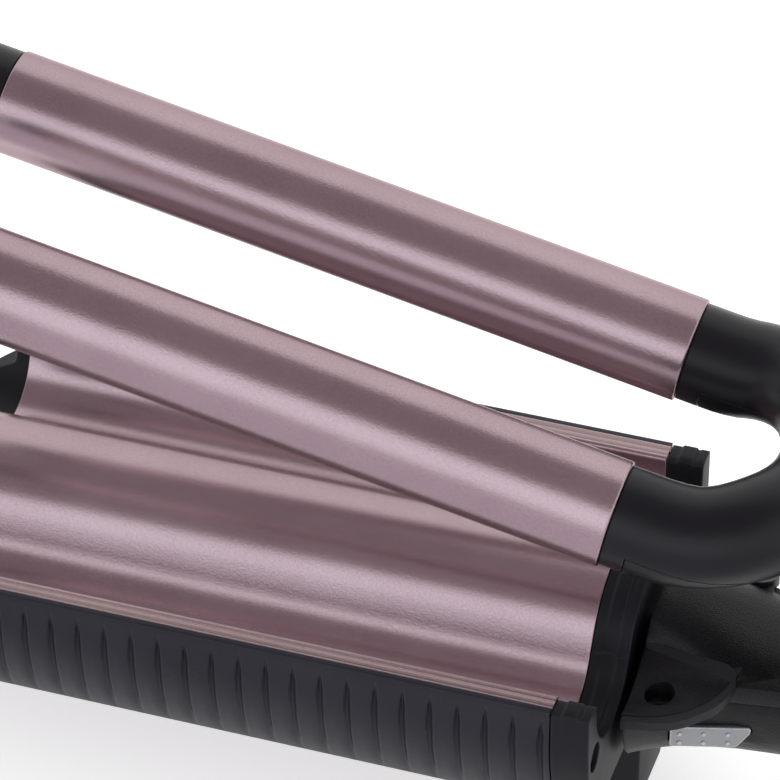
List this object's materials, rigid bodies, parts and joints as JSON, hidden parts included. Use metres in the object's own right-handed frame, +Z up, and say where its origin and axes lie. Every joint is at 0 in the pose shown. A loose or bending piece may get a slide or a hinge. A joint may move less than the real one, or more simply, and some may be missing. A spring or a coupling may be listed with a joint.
{
  "type": "hair waver",
  "caption": "Tong-type hair waver: round hot barrels on a sprung forked arm close into a W-shaped hot plate with ribbed side grips, a flared handle and a side key.",
  "frame": {"origin": "middle of the flat under the keel, which the waver stands on", "axes": "+X from the cool tip to the hinge, +Y across the jaw to the far side, +Z up"},
  "size_m": [0.3762, 0.0828, 0.1233],
  "materials": {
    "rose_coat": "gloss coat with a fine orange-peel grain",
    "rose_cover": "satin rose plastic",
    "grip_black": "matte",
    "satin_black": "satin",
    "textured_black": "fine moulded texture",
    "gland_black": "matte",
    "silver": "metallic satin plastic",
    "steel": "plain",
    "ceramic": "unglazed",
    "board": "solder mask",
    "switch_black": "plain",
    "lens": "clear gloss"
  },
  "bodies": {
    "lower_arm": {"wave_plate": "rose_coat", "jaw_frame": "satin_black", "near_grip": "grip_black", "far_grip": "grip_black", "lower_tip": "satin_black", "rear_cap": "satin_black", "keel_cover": "rose_cover", "plate_heaters": "ceramic", "heater_clamps": "steel", "thermostat": "ceramic", "cap_screws": "steel", "handle_top": "textured_black", "handle_bottom": "textured_black", "lobe_screws": "steel", "control_board": "board", "key_switch": "switch_black", "button_switch": "switch_black", "indicator_lens": "lens", "hinge_pin": "steel", "hinge_washers": "steel", "torsion_spring": "steel"},
    "upper_arm": {"near_barrel": "rose_coat", "far_barrel": "rose_coat", "near_tip_cap": "satin_black", "far_tip_cap": "satin_black", "rod_heaters": "ceramic", "arm_shell": "satin_black", "arm_cover": "satin_black", "cover_screws": "steel"},
    "side_key_body": {"side_key": "silver"},
    "power_button_body": {"power_button": "silver"},
    "gland_body": {"cord_gland": "gland_black"}
  },
  "joints": [
    {"name": "arm_hinge", "type": "hinge", "parent": "lower_arm", "child": "upper_arm", "pos_m": [0.2471, 0, 0.0415], "axis": [0, -1, 0], "range_deg": [0, 11.5], "stiffness_Nm_per_rad": 1.2, "springref_deg": -34.38},
    {"name": "side_key_push", "type": "slide", "parent": "lower_arm", "child": "side_key_body", "axis": [-0.2807, 0.9598, 0], "range_m": [0, 0.0008], "stiffness_N_per_m": 600, "springref_m": -0.001},
    {"name": "power_button_push", "type": "slide", "parent": "lower_arm", "child": "power_button_body", "axis": [0, 1, 0], "range_m": [0, 0.0008], "stiffness_N_per_m": 600, "springref_m": -0.001},
    {"name": "cord_swivel", "type": "hinge", "parent": "lower_arm", "child": "gland_body", "pos_m": [0.26, 0, 0.028], "axis": [1, 0, 0], "continuous": true}
  ]
}
